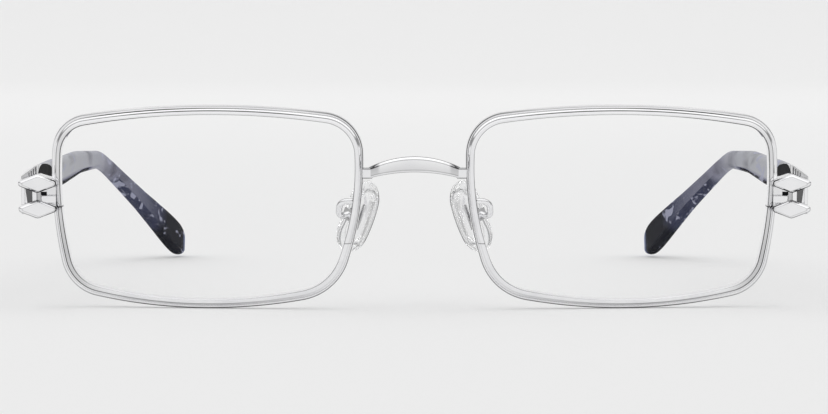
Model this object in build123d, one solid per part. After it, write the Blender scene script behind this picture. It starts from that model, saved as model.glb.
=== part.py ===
from build123d import *
from math import asin, cos, pi, radians, sin, sqrt
import os

# Full-rim rectangular eyeglasses, in millimetres. The front faces -Y, the temples run back
# along +Y and +Z is up. The origin is on the table, under the middle of the whole object.
# The right side (+X) is modelled and mirrored to the left.

# Driving sizes of the front
eye_centre_x = 36.0  # half the distance between the middles of the two lenses
base_curve_radius = 130.0  # the lenses and rims follow a ball of this radius
wrap_angle = 6.0  # each rim turns back this much towards its temple
lean_angle = 6.0  # the top of the front leans forward over the temples' square
overrun = 1.0  # how far every cutting tool passes through
block_reach_share = 0.125  # depth of the eye-shaped cutting blocks, of the base curve

# The rim's outer outline, from the lens middle: corners before rounding, then the rise of
# each side's arc over its chord
top_nose_corner = (-26.2, 15.35)
top_temple_corner = (28.15, 14.2)
low_temple_corner = (26.0, -16.0)
low_nose_corner = (-21.9, -15.8)
top_rise = 2.65
temple_rise = 1.35
low_rise = 2.7
nose_rise = 2.2
top_nose_radius = 7.5
top_temple_radius = 7.0
low_temple_radius = 7.7
low_nose_radius = 10.2

# The eyewire's section
ledge_width = 0.55  # the outer ledge, set back from the front band
nose_ledge_width = 0.3  # the ledge narrows beside the nose
band_width = 1.05
brow_thickness = 0.22
ledge_setback = 0.45
rim_depth = 2.05
groove_front = 0.4
groove_width = 1.25
groove_depth = 0.5
nose_seam_height = -6.8  # the brow wire ends here, from the lens middle
lock_seam_height = -0.4  # the eyewire is split here, from the lens middle
lock_seam_gap = 0.12

# The lens
lens_clearance = 0.04

# The bridge
bridge_half_span = 8.1
bridge_top_height = 8.45  # from the lens middle, at the crown
bridge_crown_thickness = 2.7
bridge_end_height = 5.6
bridge_end_thickness = 1.85
bridge_depth = 1.5
bridge_forward_radius = 26.0
bridge_front = -0.95
bridge_bevel = 0.35
bridge_stations = 14
neck_height = 1.9
neck_depth = 1.3
neck_reach = 1.6  # how far each neck runs in under the arch
neck_root_inset = 0.1  # its root stops this far short of the rim's top nose corner

# The endpiece and its studs
stud_standoff = 2.35  # the studs' middle lies this far outside the rim's top temple corner
stud_middle_x = eye_centre_x + top_temple_corner[0] + stud_standoff
stud_length = 6.8
stud_height = 2.6
stud_depth = 1.5
stud_front = 4.3
stud_spacing = 4.55
studs_height = 0.9  # middle of the pair, from the lens middle
stud_tip_flat = 0.36
stud_crown_flat = 0.35
stud_bevel = 0.32
endpiece_depth = 2.7
endpiece_reach = 3.0  # outwards from the middle of the studs
endpiece_inner_reach = 2.6
post_width = 0.75
outer_post_width = 0.8
outer_post_inset = 0.35
lock_width = 1.75
lock_depth = 2.5
lock_drop = 1.2
lock_screw_radius = 0.5
lock_head_radius = 0.8
lock_head_height = 0.5
screw_clearance = 0.03

# The temple hinge
hinge_inset = 0.9  # from the middle of the studs inwards
hinge_setback = 1.85  # from the endpiece's back to the hinge's axis
knuckle_radius = 1.15
knuckle_height = 1.75
knuckle_gap = 0.06
pin_radius = 0.55
pin_clearance = 0.04
hinge_head_radius = 0.95
hinge_head_height = 0.45
slot_width = 0.22
slot_depth = 0.2
butt_gap = 0.12
hinge_leaf_thickness = 0.45

# The temple's metal front
arm_offset = 0.45  # from the middle of the studs outwards to its inner face
arm_thickness = 2.35
front_length = 16.0
# Its shape: distance forward of the seam, then the heights over the table of its underside,
# of its outer top edge and of its inner top edge
arm_sections = (
    (17.0, 16.2, 23.4, 25.2),
    (12.0, 17.0, 24.0, 25.15),
    (7.5, 18.1, 24.25, 24.85),
    (3.5, 19.0, 24.35, 24.5),
    (0.0, 19.4, 24.4, 24.4),
)
rib_count = 4
rib_pitch = 1.3
rib_width = 0.5
rib_depth = 0.28
rib_height = 2.4
rib_start = 2.6
arm_edge_cut = 0.3

# The acetate temple and its core
arm_height_at_seam = 5.0
arm_middle_height = 21.9  # from the table to the middle of the seam with the acetate
temple_reach = 141.0  # from the front of the lenses to the tip
crest_share = 0.468  # of the reach: the acetate rises to here and runs level to the bend
crest_rise = 1.6
crest_radius = 60.0
bend_share = 0.688
bend_inward = 3.3
bend_drop = 0.6  # from the crest
bend_radius = 20.0
tip_inward = 13.9
tip_rest_share = 0.1902  # height of the tip's middle over the table, of the paddle's height
sleeve_thickness = 2.5
seam_thickness = 2.35
paddle_height = 5.7
sleeve_stations = 19
sleeve_corner_share = 0.38
core_width = 1.0
core_clearance = 0.03
core_end_gap = 14.0

# The nose pad and its arm
pad_middle = (9.8, 9.4, -3.4)
pad_length = 13.4
pad_top_radius = 3.1
pad_low_radius = 3.8
pad_thickness = 2.3
pad_crown_radius = 22.0
pad_edge_cut = 0.5
pad_lean = 19.0
pad_splay = 40.0
lug_width = 1.3
lug_length = 1.2
lug_height = 1.2
lug_root_share = 0.25  # how deep the lug reaches into the pad, from its middle
box_wall = 0.35
box_length = 2.0
lug_gap = 0.1
pad_standoff = 0.2
pad_screw_radius = 0.35
pad_screw_clearance = 0.03
pad_head_radius = 0.6
pad_head_height = 0.3
arm_wire_radius = 0.55
arm_wire_sides = 6
arm_route = ((10.2, 1.7, 0.2), (10.35, 4.0, 0.25), (13.25, 5.0, -0.1), (13.4, 6.3, -3.0))
arm_bend_radii = (1.1, 1.3, 0.9)

# Places worked out from the sizes above
lean = radians(lean_angle)
rim_low = low_rise - (low_temple_corner[1] + low_nose_corner[1]) / 2
rim_low_back = rim_low**2 / (2 * base_curve_radius) + ledge_setback
eye_centre_height = rim_low * cos(lean) - rim_low_back * sin(lean)
front_place = Pos(0, 0, eye_centre_height) * Rot(lean_angle, 0, 0)
eye_place = front_place * Pos(eye_centre_x, 0, 0) * Rot(0, 0, wrap_angle)
endpiece_outer_x = stud_middle_x + endpiece_reach
endpiece_inner_x = stud_middle_x - endpiece_inner_reach
hinge_x = stud_middle_x - hinge_inset
arm_inner_x = stud_middle_x + arm_offset
stud_back = stud_front + stud_depth
endpiece_back = stud_back + endpiece_depth
hinge_y = endpiece_back + hinge_setback
upper_stud_height = studs_height + stud_spacing / 2
lock_screw_top = upper_stud_height - stud_height / 2
lower_stud_height = studs_height - stud_spacing / 2
arm_outer_x = arm_inner_x + arm_thickness
front_end_y = endpiece_back + front_length
crest_from_front = temple_reach * crest_share
bend_from_front = temple_reach * bend_share


def box_between(low, high):
    """A block between two opposite corners."""
    size = [b - a for a, b in zip(low, high)]
    middle = [(a + b) / 2 for a, b in zip(low, high)]
    return Pos(*middle) * Box(*size)


def upright_cylinder(radius, x, y, low, high):
    """A cylinder along Z between two heights."""
    return Pos(x, y, (low + high) / 2) * Cylinder(radius, high - low)


# Eye outline
def eye_face(ledge_share, band_inset):
    """The rim's outline drawn in by a share of the ledge and by a width of the band."""
    side_inset = ledge_share * ledge_width + band_inset
    nose_inset = ledge_share * nose_ledge_width + band_inset
    corners = [
        (top_nose_corner[0] + nose_inset, top_nose_corner[1] - side_inset),
        (top_temple_corner[0] - side_inset, top_temple_corner[1] - side_inset),
        (low_temple_corner[0] - side_inset, low_temple_corner[1] + side_inset),
        (low_nose_corner[0] + nose_inset, low_nose_corner[1] + side_inset),
    ]
    rises = [top_rise, temple_rise, low_rise, nose_rise]
    radii = [top_nose_radius, top_temple_radius, low_temple_radius, low_nose_radius]
    sides = []
    for i, rise in enumerate(rises):
        start = Vector(*corners[i])
        end = Vector(*corners[(i + 1) % len(corners)])
        along = (end - start).normalized()
        outward = Vector(-along.Y, along.X)
        sides.append(ThreePointArc(start, (start + end) / 2 + outward * rise, end))
    face = make_face(sides)
    for corner, radius in zip(corners, radii):
        near = face.vertices().sort_by_distance(Vector(*corner))[0]
        face = fillet(near, radius - side_inset)
    return face


def eye_block(ledge_share, band_inset):
    """The outline carried through the rim's whole depth, in the eye's own frame."""
    reach = rim_depth + base_curve_radius * block_reach_share
    face = Plane.XZ * eye_face(ledge_share, band_inset)
    return extrude(face, amount=reach, both=True)


def curve_shell(front, back):
    """The space between two balls of the base curve, front and back behind the rim's front."""
    outer = Sphere(base_curve_radius - front)
    inner = Sphere(base_curve_radius - back)
    return Pos(0, base_curve_radius, 0) * (outer - inner)


def above_seams():
    """The space over the line from the temple seam to the seam beside the nose."""
    reach = top_temple_corner[0] + temple_rise
    line = [
        (-reach, nose_seam_height),
        (reach, lock_seam_height + lock_seam_gap / 2),
        (reach, reach),
        (-reach, reach),
    ]
    return extrude(Plane.XZ * make_face(Polyline(*line, close=True)), amount=reach, both=True)


def make_eyewire():
    opening = eye_block(1, band_width)
    band = eye_block(1, 0) & curve_shell(brow_thickness, rim_depth)
    ledge = eye_block(0, 0) & curve_shell(ledge_setback, rim_depth)
    groove_face = eye_block(1, band_width - groove_depth)
    groove = groove_face & curve_shell(groove_front, groove_front + groove_width)
    wire = (band + ledge) - opening - groove
    reach = top_temple_corner[0] + temple_rise + overrun
    seam = box_between(
        (0, -rim_depth, lock_seam_height - lock_seam_gap / 2),
        (reach, base_curve_radius * block_reach_share, lock_seam_height + lock_seam_gap / 2),
    )
    return eye_place * (wire - seam)


def make_brow_wire():
    wire = (eye_block(1, 0) - eye_block(1, band_width)) & curve_shell(0, brow_thickness)
    return eye_place * (wire & above_seams())


def make_lens():
    """The lens, whose edge sits in the eyewire's groove."""
    front = groove_front + lens_clearance
    back = groove_front + groove_width - lens_clearance
    block = eye_block(1, band_width - groove_depth + lens_clearance)
    return eye_place * (block & curve_shell(front, back))


# Bridge
def arc_height(x, end, crown):
    """Height at x of the arc over the bridge's span through both ends and the crown."""
    rise = crown - end
    radius = (bridge_half_span**2 + rise**2) / (2 * rise)
    return crown - radius + sqrt(radius**2 - x**2)


def bridge_section(x):
    """Outline of the bowed leaf at x, with its two front edges cut off."""
    half_end = bridge_end_thickness / 2
    top = arc_height(x, bridge_end_height + half_end, bridge_top_height)
    low = arc_height(
        x, bridge_end_height - half_end, bridge_top_height - bridge_crown_thickness
    )
    front = bridge_front + bridge_forward_radius - sqrt(bridge_forward_radius**2 - x**2)
    back = front + bridge_depth
    corners = [
        (x, front, low + bridge_bevel),
        (x, front, top - bridge_bevel),
        (x, front + bridge_bevel, top),
        (x, back, top),
        (x, back, low),
        (x, front + bridge_bevel, low),
    ]
    return make_face(Polyline(*corners, close=True))


def make_bridge(rims):
    half_turn = bridge_stations // 2
    sections = []
    for i in range(-half_turn, half_turn + 1):
        sections.append(bridge_section(bridge_half_span * i / half_turn))
    leaf = loft(sections, ruled=True)
    sweep_angle = asin(bridge_half_span / bridge_forward_radius)
    end_front = bridge_front + bridge_forward_radius * (1 - cos(sweep_angle))
    neck_y = end_front + bridge_depth / 2
    neck_start = bridge_half_span - neck_reach
    neck_root = eye_centre_x + top_nose_corner[0] - neck_root_inset
    neck = Pos((neck_start + neck_root) / 2, neck_y, bridge_end_height) * Box(
        neck_root - neck_start, neck_depth, neck_height
    )
    body = front_place * (leaf + neck + mirror(neck, about=Plane.YZ))
    for rim in rims:
        body = body - rim
    return body


# Endpiece, studs and rim lock, in the front's own frame
def lozenge_face():
    """A lozenge whose two side tips and two crowns are cut in short flats."""
    half_length = stud_length / 2
    half_height = stud_height / 2
    side = (half_length, stud_tip_flat / 2)
    shoulder = (half_length - stud_tip_flat / 2, stud_tip_flat)
    crown = (stud_crown_flat, half_height)
    quarter = [side, shoulder, crown]
    corners = []
    for across, up in ((1, 1), (-1, 1), (-1, -1), (1, -1)):
        points = quarter if across * up > 0 else quarter[::-1]
        corners += [(across * x, up * z) for x, z in points]
    return Plane.XZ * make_face(Polyline(*corners, close=True))


def make_stud(height, seats):
    body = extrude(lozenge_face(), amount=stud_depth)
    front_edges = body.faces().sort_by(Axis.Y)[0].edges()
    body = chamfer(front_edges, stud_bevel)
    body = front_place * Pos(stud_middle_x, stud_back, height) * body
    for seat in seats:
        body = body - seat
    return body


def make_endpiece(seats):
    """Two lozenge bars behind the studs, joined by two posts."""
    bar = extrude(lozenge_face(), amount=-endpiece_depth)
    upper_bar = Pos(stud_middle_x, stud_back, upper_stud_height) * bar
    lower_bar = Pos(stud_middle_x, stud_back, lower_stud_height) * bar
    lock_outer_x = endpiece_inner_x + lock_width + screw_clearance
    lower_bar = lower_bar & box_between(
        (lock_outer_x, stud_back, lower_stud_height - stud_height),
        (endpiece_outer_x, endpiece_back, upper_stud_height),
    )
    post = box_between(
        (lock_outer_x, stud_back, lower_stud_height),
        (lock_outer_x + post_width, endpiece_back, upper_stud_height),
    )
    outer_post_x = endpiece_outer_x - outer_post_inset
    outer_post = box_between(
        (outer_post_x - outer_post_width, stud_back, lower_stud_height),
        (outer_post_x, endpiece_back, upper_stud_height),
    )
    body = front_place * (upper_bar + lower_bar + post + outer_post)
    for seat in seats:
        body = body - seat
    return body


def lock_block(low, high):
    inner = endpiece_inner_x - ledge_width
    return box_between(
        (inner, stud_back, low), (endpiece_inner_x + lock_width, stud_back + lock_depth, high)
    )


def lock_screw_middle():
    return (endpiece_inner_x + lock_width / 2, stud_back + lock_depth / 2)


def make_lock_upper(seats):
    low = lock_seam_height + lock_seam_gap / 2
    body = lock_block(low, upper_stud_height)
    x, y = lock_screw_middle()
    body = body - upright_cylinder(lock_screw_radius, x, y, low - overrun, lock_screw_top)
    body = front_place * body
    for seat in seats:
        body = body - seat
    return body


def make_lock_lower(seats):
    high = lock_seam_height - lock_seam_gap / 2
    low = high - lock_drop
    body = lock_block(low, high)
    x, y = lock_screw_middle()
    hole = lock_screw_radius + screw_clearance
    body = body - upright_cylinder(hole, x, y, low - overrun, high + overrun)
    seat_top = low + lock_head_height
    sink = lock_head_radius + screw_clearance
    body = body - upright_cylinder(sink, x, y, low - overrun, seat_top)
    body = front_place * body
    for seat in seats:
        body = body - seat
    return body


def slotted_head(radius, x, y, low, high):
    """A screw head whose slot opens downwards."""
    head = upright_cylinder(radius, x, y, low, high)
    slot = box_between(
        (x - radius - overrun, y - slot_width / 2, low - overrun),
        (x + radius + overrun, y + slot_width / 2, low + slot_depth),
    )
    return head - slot


def make_lock_screw():
    x, y = lock_screw_middle()
    low = lock_seam_height - lock_seam_gap / 2 - lock_drop
    head_top = low + lock_head_height
    head = upright_cylinder(lock_head_radius, x, y, low, head_top)
    shank = upright_cylinder(lock_screw_radius, x, y, head_top, lock_screw_top)
    return front_place * (head + shank)


# Hinge, in the front's own frame
def knuckle_span(index):
    """Lowest and highest level of one of the three knuckles, counted from below."""
    pitch = knuckle_height + knuckle_gap
    middle = studs_height + (index - 1) * pitch
    return middle - knuckle_height / 2, middle + knuckle_height / 2


def knuckle(index, bore):
    low, high = knuckle_span(index)
    body = upright_cylinder(knuckle_radius, hinge_x, hinge_y, low, high)
    return body, upright_cylinder(bore, hinge_x, hinge_y, low - overrun, high + overrun)


def make_front_knuckles():
    """Two knuckles and their webs on one leaf, soldered to the endpiece's back."""
    body = box_between(
        (hinge_x - knuckle_radius, endpiece_back, knuckle_span(0)[0]),
        (hinge_x + knuckle_radius, endpiece_back + hinge_leaf_thickness, knuckle_span(2)[1]),
    )
    for index in (0, 2):
        low, high = knuckle_span(index)
        barrel, bore = knuckle(index, pin_radius + pin_clearance)
        web = box_between(
            (hinge_x - knuckle_radius, endpiece_back, low), (hinge_x + knuckle_radius, hinge_y, high)
        )
        body = body + ((barrel + web) - bore)
    return front_place * body


def make_hinge_screw():
    low = knuckle_span(0)[0]
    high = knuckle_span(2)[1]
    head_low = low - hinge_head_height
    head = slotted_head(hinge_head_radius, hinge_x, hinge_y, head_low, low)
    shank = upright_cylinder(pin_radius, hinge_x, hinge_y, low, high)
    return front_place * (head + shank)


# Temple
def temple_path():
    """Middle line of the temple from its front end to the tip, level and then bent down."""
    middle_x = arm_inner_x + arm_thickness / 2
    risen_share = (crest_from_front - front_end_y) / (bend_from_front - front_end_y)
    crest_height = arm_middle_height + crest_rise
    start = (middle_x, front_end_y, arm_middle_height)
    crest = (middle_x - bend_inward * risen_share, crest_from_front, crest_height)
    bend = (middle_x - bend_inward, bend_from_front, crest_height - bend_drop)
    tip = (bend[0] - tip_inward, temple_reach, paddle_height * tip_rest_share)
    return FilletPolyline(start, crest, bend, tip, radius=[crest_radius, bend_radius])


def temple_section(path, share, height, thickness):
    """A section with twice-cut corners square to the path, at a share of the path's length."""
    place = Plane(origin=path @ share, x_dir=Vector(1, 0, 0), z_dir=path % share)
    corner = min(height, thickness) * sleeve_corner_share
    slope = corner * (1 - sin(pi / 4))
    quarter = [(0, corner), (slope, slope), (corner, 0)]
    corners = []
    for across, up in ((-1, -1), (-1, 1), (1, 1), (1, -1)):
        points = quarter[::-1] if across * up > 0 else quarter
        for inset, rise in points:
            corners.append((across * (thickness / 2 - inset), up * (height / 2 - rise)))
    return place * make_face(Polyline(*corners, close=True))


# Shape along the acetate: share of the path, share of the height at the seam, share of the
# way to the full thickness
sleeve_shape_shares = (
    (0.0, 1.0, 0.0),
    (0.12, 0.86, 0.5),
    (0.25, 0.745, 0.9),
    (0.37, 0.66, 1.0),
    (0.49, 0.635, 1.0),
    (0.59, 0.63, 1.0),
    (0.68, 0.62, 1.0),
    (0.77, 0.65, 1.0),
    (0.85, 0.88, 1.0),
    (0.92, 1.12, 1.0),
)
# Rounded end of the paddle: share of the paddle's own length from the last station to the
# tip, share of the paddle's height, share of the thickness
paddle_end_shares = (
    (0.35, 0.98, 0.98),
    (0.62, 0.88, 0.92),
    (0.84, 0.67, 0.78),
    (1.0, 0.34, 0.42),
)


def sleeve_shape(share):
    """Height and thickness at a share of the path, between two rows of the table."""
    rows = sleeve_shape_shares
    low, high = [pair for pair in zip(rows, rows[1:]) if pair[0][0] <= share][-1]
    blend = (share - low[0]) / (high[0] - low[0])
    height = arm_height_at_seam * (low[1] + (high[1] - low[1]) * blend)
    fullness = low[2] + (high[2] - low[2]) * blend
    return height, seam_thickness + (sleeve_thickness - seam_thickness) * fullness


def make_sleeve_solid(path):
    last = sleeve_shape_shares[-1][0]
    sections = []
    for i in range(sleeve_stations):
        share = last * i / (sleeve_stations - 1)
        height, thickness = sleeve_shape(share)
        sections.append(temple_section(path, share, height, thickness))
    for end_share, height_share, thickness_share in paddle_end_shares:
        share = last + (1 - last) * end_share
        height = paddle_height * height_share
        sections.append(temple_section(path, share, height, sleeve_thickness * thickness_share))
    return loft(sections, ruled=True)


def make_core_solid(path, grow):
    """Square wire along the path that stops short of the tip."""
    stop = 1 - core_end_gap / path.length
    place = Plane(origin=path @ 0, x_dir=Vector(1, 0, 0), z_dir=path % 0)
    side = core_width + 2 * grow
    return sweep(place * Rectangle(side, side), path=path.trim(0, stop))


def arm_section(forward, low, outer_top, inner_top):
    """Outline of the metal front at one distance forward of the seam."""
    y = front_end_y - forward
    cut = arm_edge_cut
    slope = (inner_top - outer_top) / arm_thickness * cut
    corners = [
        (arm_inner_x + cut, y, low),
        (arm_outer_x - cut, y, low),
        (arm_outer_x, y, low + cut),
        (arm_outer_x, y, outer_top - cut),
        (arm_outer_x - cut, y, outer_top + slope),
        (arm_inner_x + cut, y, inner_top - slope),
        (arm_inner_x, y, inner_top - cut),
        (arm_inner_x, y, low + cut),
    ]
    return make_face(Polyline(*corners, close=True))


def make_temple_front(seats):
    """Metal front of the temple: it flares from the seam to the hinge, and its top slopes."""
    plate = loft([arm_section(*row) for row in arm_sections], ruled=True)
    front_y = endpiece_back + butt_gap
    ahead = box_between(
        (arm_inner_x - overrun, 0, -front_length), (arm_outer_x + overrun, front_y, front_length)
    )
    plate = plate - front_place * ahead
    low, high = knuckle_span(1)
    barrel, bore = knuckle(1, pin_radius + pin_clearance)
    web = box_between(
        (hinge_x, hinge_y - knuckle_radius, low),
        (arm_inner_x + arm_edge_cut, hinge_y + knuckle_radius, high),
    )
    body = plate + front_place * ((barrel + web) - bore)
    rib_top = arm_sections[0][3]
    for i in range(rib_count):
        y = front_y + rib_start + i * rib_pitch
        body = body - box_between(
            (arm_inner_x - overrun, y - rib_width / 2, rib_top - rib_height),
            (arm_inner_x + rib_depth, y + rib_width / 2, rib_top + overrun),
        )
    for seat in seats:
        body = body - seat
    return body


# Nose pad, in its own frame: length along Z, skin side towards -X
pad_place = front_place * Pos(*pad_middle) * Rot(0, -pad_lean, 0) * Rot(0, 0, -pad_splay)


def make_pad_face():
    top = pad_length / 2 - pad_top_radius
    low = pad_length / 2 - pad_low_radius
    ends = Pos(0, top) * Circle(pad_top_radius) + Pos(0, -low) * Circle(pad_low_radius)
    return make_hull(ends.edges())


def make_nose_pad():
    outline = Plane.YZ * make_pad_face()
    block = extrude(outline, amount=pad_thickness, both=True)
    skin = Pos(pad_crown_radius - pad_thickness / 2, 0, 0) * Rot(90, 0, 0)
    skin = skin * Cylinder(pad_crown_radius, pad_length)
    back = box_between(
        (-pad_thickness, -pad_length, -pad_length), (pad_thickness / 2, pad_length, pad_length)
    )
    body = block & skin & back
    body = chamfer(body.faces().sort_by(Axis.X)[-1].edges(), pad_edge_cut)
    lug_end = pad_thickness / 2 + pad_standoff + lug_height
    axle = lug_end - lug_length / 2
    lug = box_between(
        (pad_thickness * lug_root_share, -lug_width / 2, -lug_length / 2),
        (axle, lug_width / 2, lug_length / 2),
    )
    lug = lug + Pos(axle, 0, 0) * Rot(90, 0, 0) * Cylinder(lug_length / 2, lug_width)
    bore = pad_screw_radius + pad_screw_clearance
    body = body + lug - Pos(axle, 0, 0) * Rot(90, 0, 0) * Cylinder(bore, lug_width + overrun)
    return pad_place * body


def pad_axle():
    return pad_thickness / 2 + pad_standoff + lug_height - lug_length / 2


def pad_box_block():
    """The channel's outer block, in the pad's frame."""
    reach = lug_width / 2 + lug_gap + box_wall
    floor = pad_axle() + lug_length / 2 + lug_gap + box_wall
    mouth = pad_thickness / 2 + pad_standoff
    return box_between((mouth, -reach, -box_length / 2), (floor, reach, box_length / 2))


def make_pad_box():
    """A channel that takes the pad's lug, with holes for the screw."""
    inner = lug_width / 2 + lug_gap
    mouth = pad_thickness / 2 + pad_standoff
    floor = pad_axle() + lug_length / 2 + lug_gap
    channel = box_between((mouth - overrun, -inner, -box_length), (floor, inner, box_length))
    bore_length = 2 * (inner + box_wall + overrun)
    bore = Pos(pad_axle(), 0, 0) * Rot(90, 0, 0) * Cylinder(pad_screw_radius, bore_length)
    return pad_place * (pad_box_block() - channel - bore)


def make_pad_screw():
    reach = lug_width / 2 + lug_gap + box_wall
    shank = Pos(pad_axle(), 0, 0) * Rot(90, 0, 0) * Cylinder(pad_screw_radius, 2 * reach)
    head = Pos(pad_axle(), -reach - pad_head_height / 2, 0) * Rot(90, 0, 0)
    head = head * Cylinder(pad_head_radius, pad_head_height)
    return pad_place * (shank + head)


def make_pad_arm(seats):
    """Curled wire from the rim's back to the back of the pad's channel."""
    points = [(front_place * Pos(*p)).position for p in arm_route]
    wall_middle = pad_axle() + lug_length / 2 + lug_gap + box_wall / 2
    points.append((pad_place * Pos(wall_middle, 0, 0)).position)
    route = FilletPolyline(*points, radius=list(arm_bend_radii))
    first = Plane(origin=route @ 0, z_dir=route % 0)
    body = sweep(first * RegularPolygon(arm_wire_radius, arm_wire_sides), path=route)
    for seat in seats:
        body = body - seat
    return body


# The whole object
def make_right_side():
    eyewire = make_eyewire()
    brow_wire = make_brow_wire()
    lock_upper = make_lock_upper([eyewire, brow_wire])
    lock_lower = make_lock_lower([eyewire])
    endpiece = make_endpiece([eyewire, brow_wire, lock_upper])
    rim_seats = [eyewire, brow_wire]
    path = temple_path()
    sleeve = make_sleeve_solid(path)
    core = make_core_solid(path, 0)
    return {
        "eyewire": eyewire,
        "brow_wire": brow_wire,
        "lens": make_lens(),
        "lock_upper": lock_upper,
        "lock_lower": lock_lower,
        "lock_screw": make_lock_screw(),
        "endpiece": endpiece,
        "upper_stud": make_stud(upper_stud_height, rim_seats),
        "lower_stud": make_stud(lower_stud_height, rim_seats),
        "front_knuckles": make_front_knuckles(),
        "hinge_screw": make_hinge_screw(),
        "temple_front": make_temple_front([sleeve]),
        "temple_core": core,
        "temple_sleeve": sleeve - make_core_solid(path, core_clearance),
        "pad_arm": make_pad_arm([eyewire, pad_place * pad_box_block()]),
        "pad_box": make_pad_box(),
        "pad_screw": make_pad_screw(),
        "nose_pad": make_nose_pad(),
    }


def make_all():
    right = make_right_side()
    pieces = {"right_" + name: part for name, part in right.items()}
    for name, part in right.items():
        pieces["left_" + name] = mirror(part, about=Plane.YZ)
    pieces["bridge"] = make_bridge([pieces["right_eyewire"], pieces["left_eyewire"]])
    boxes = [part.bounding_box() for part in pieces.values()]
    front = min(box.min.Y for box in boxes)
    back = max(box.max.Y for box in boxes)
    seat = Pos(0, -(front + back) / 2, -min(box.min.Z for box in boxes))
    return {name: seat * part for name, part in pieces.items()}


os.makedirs("parts", exist_ok=True)
for node, part in make_all().items():
    export_step(part, f"parts/{node}.step")
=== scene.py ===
import math

import bpy
import numpy as np
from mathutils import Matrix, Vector


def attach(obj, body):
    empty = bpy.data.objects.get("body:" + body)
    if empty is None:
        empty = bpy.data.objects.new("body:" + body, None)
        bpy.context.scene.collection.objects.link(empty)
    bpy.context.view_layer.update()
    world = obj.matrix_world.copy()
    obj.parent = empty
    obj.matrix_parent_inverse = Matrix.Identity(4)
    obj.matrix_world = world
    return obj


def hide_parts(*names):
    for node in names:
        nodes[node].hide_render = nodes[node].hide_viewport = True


# Rectangular eyeglasses on a pale sweep. Shapes are worked out in millimetres in the part's
# own frame (front towards -Y, up +Z) and turned to metres when they become meshes.

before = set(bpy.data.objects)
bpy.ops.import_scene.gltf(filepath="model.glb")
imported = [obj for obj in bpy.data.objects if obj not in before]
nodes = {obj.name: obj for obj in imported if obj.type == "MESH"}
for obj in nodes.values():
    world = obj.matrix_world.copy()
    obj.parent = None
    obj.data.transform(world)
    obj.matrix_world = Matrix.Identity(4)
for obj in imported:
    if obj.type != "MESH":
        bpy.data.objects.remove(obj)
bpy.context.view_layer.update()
partShift = np.array([0.0, -69.8433, -0.0205])  # from the drawing's origin to the part's
print("scene: frame loaded, %d nodes" % len(nodes))


# Helpers for surfaces

def turned(points, axis, degrees):
    # The points turned about one of the three axes through the origin
    angle = math.radians(degrees)
    a, b = {"x": (1, 2), "y": (2, 0), "z": (0, 1)}[axis]
    out = np.array(points, dtype=float)
    out[..., a] = points[..., a] * math.cos(angle) - points[..., b] * math.sin(angle)
    out[..., b] = points[..., a] * math.sin(angle) + points[..., b] * math.cos(angle)
    return out


def cornerArcs(before, corners, after, radii, steps):
    # Circle arcs that round corners: each touches both sides at radius / tan(half the corner)
    # from the corner, and its middle lies on the corner's bisector
    toBack, toNext = [way / np.linalg.norm(way, axis=-1, keepdims=True)
                      for way in (before - corners, after - corners)]
    half = 0.5 * np.arccos(np.clip(np.sum(toBack * toNext, axis=-1, keepdims=True), -1, 1))
    bisector = toBack + toNext
    bisector = bisector / np.linalg.norm(bisector, axis=-1, keepdims=True)
    middle = corners + bisector * radii / np.sin(half)
    first = (corners + toBack * radii / np.tan(half) - middle)[..., None, :]
    last = (corners + toNext * radii / np.tan(half) - middle)[..., None, :]
    share = np.linspace(0, 1, steps)[:, None]
    sweep = (math.pi - 2 * half)[..., None, :]
    arc = (first * np.sin((1 - share) * sweep) + last * np.sin(share * sweep)) / np.sin(sweep)
    return middle[..., None, :] + arc


def roundedLoop(corners, radii, steps):
    # A closed loop with rounded corners; corners may have leading axes, one loop each
    corners = np.asarray(corners, dtype=float)
    radii = np.broadcast_to(np.asarray(radii, dtype=float), corners.shape[:-1])[..., None]
    arcs = cornerArcs(np.roll(corners, 1, axis=-2), corners, np.roll(corners, -1, axis=-2),
                      radii, steps)
    return arcs.reshape(*corners.shape[:-2], -1, corners.shape[-1])


def crossSections(corners):
    # One polygon at each station, from the stations' values of each corner
    return np.stack([np.stack(corner, axis=-1) for corner in corners], axis=-2)


def divided(loops, shares):
    # Closed loops with points added at shares of the way from each point to the next
    gaps = np.roll(loops, -1, axis=-2) - loops
    finer = np.stack([loops + gaps * share for share in shares], axis=-2)
    return finer.reshape(*loops.shape[:-2], -1, loops.shape[-1])


def tableAt(table, where, column=1):
    # A column of a table, read by the table's first column
    table = np.asarray(table, dtype=float)
    return np.interp(where, table[:, 0], table[:, column])


def gridFaces(rows, columns, closed):
    # Quads between neighbouring rows and columns, and from the last column on to the first
    # where the rows are closed loops
    i, j = np.meshgrid(np.arange(rows - 1), np.arange(columns if closed else columns - 1),
                       indexing="ij")
    after = (j + 1) % columns
    return np.stack([i * columns + j, i * columns + after, (i + 1) * columns + after,
                     (i + 1) * columns + j], axis=-1).reshape(-1, 4)


def surfaceOf(grid, shade=0.0):
    # A closed surface over rows of points, each row a loop, with a fan from the middle of the first
    # row and of the last one. shade is a value at each point that the materials read: on the metal
    # and the pads it is painted shade, standing in for dark reflections and for the shade in
    # corners, besides the dark of the seams; on the acetate it is how far the sheet has darkened.
    # Every face is turned round if the surface's signed volume is negative.
    rows, columns = grid.shape[:2]
    shade = np.broadcast_to(shade, (rows, columns))
    points = np.vstack([grid.reshape(-1, 3), grid[0].mean(axis=0), grid[-1].mean(axis=0)])
    shades = np.append(shade.reshape(-1), (shade[0].mean(), shade[-1].mean()))
    ring = np.arange(columns)
    around = np.roll(ring, -1)
    base, pole = (rows - 1) * columns, np.full(columns, rows * columns)
    quads = gridFaces(rows, columns, True)
    fans = np.vstack([np.stack([ring, pole, around], axis=-1),
                      np.stack([base + around, pole + 1, base + ring], axis=-1)])
    a, b, c = points[np.vstack([quads[:, :3], quads[:, (0, 2, 3)], fans]).T]
    if np.sum(a * np.cross(b, c)) < 0:
        quads, fans = quads[:, ::-1], fans[:, ::-1]
    return points, quads, fans, shades


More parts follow.
